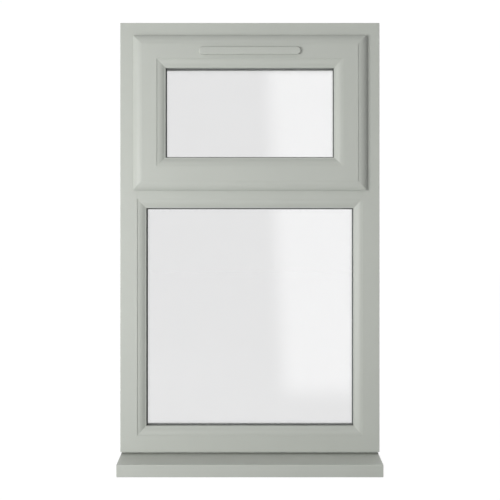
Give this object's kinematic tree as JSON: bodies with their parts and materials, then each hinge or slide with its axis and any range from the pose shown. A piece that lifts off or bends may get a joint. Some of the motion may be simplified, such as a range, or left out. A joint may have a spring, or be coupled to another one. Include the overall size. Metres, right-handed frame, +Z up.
{
  "type": "upvc window",
  "caption": "uPVC casement window with a top-hung fanlight over a fixed light, sculptured profiles, slim trickle-vent canopy and a projecting sill.",
  "frame": {"origin": "on the sill's underside, mid width, below the outdoor face of the outer frame", "axes": "+X to the right seen from outdoors, -Y outdoors, +Z up"},
  "size_m": [0.61, 0.171, 1.05],
  "materials": {
    "gasket": "matt grey glazing gasket",
    "glass": "clear float glass with a faint green edge",
    "handle_metal": "satin metal",
    "hardware_steel": "plain stainless steel",
    "spacer": "grey warm-edge spacer and sealant",
    "upvc": "light grey satin foil on welded uPVC"
  },
  "bodies": {
    "root": {"fixed_light_bottom_bead": "upvc", "fixed_light_inner_gasket": "gasket", "fixed_light_inner_pane": "glass", "fixed_light_left_bead": "upvc", "fixed_light_outer_gasket": "gasket", "fixed_light_outer_pane": "glass", "fixed_light_right_bead": "upvc", "fixed_light_spacer_bar": "spacer", "fixed_light_top_bead": "upvc", "frame_bottom_rail": "upvc", "frame_head": "upvc", "frame_left_jamb": "upvc", "frame_right_jamb": "upvc", "friction_stay_left": "hardware_steel", "friction_stay_right": "hardware_steel", "handle_base": "handle_metal", "handle_lever": "handle_metal", "lock_keep_left": "hardware_steel", "lock_keep_right": "hardware_steel", "lock_strip": "hardware_steel", "sash_bottom_bead": "upvc", "sash_bottom_rail": "upvc", "sash_inner_gasket": "gasket", "sash_inner_pane": "glass", "sash_left_bead": "upvc", "sash_left_stile": "upvc", "sash_outer_gasket": "gasket", "sash_outer_pane": "glass", "sash_right_bead": "upvc", "sash_right_stile": "upvc", "sash_spacer_bar": "spacer", "sash_top_bead": "upvc", "sash_top_rail": "upvc", "sash_weather_seal": "gasket", "sill": "upvc", "sill_left_end_cap": "upvc", "sill_right_end_cap": "upvc", "transom": "upvc", "vent_canopy": "upvc", "vent_cover": "upvc", "vent_slider": "upvc"}
  },
  "joints": []
}
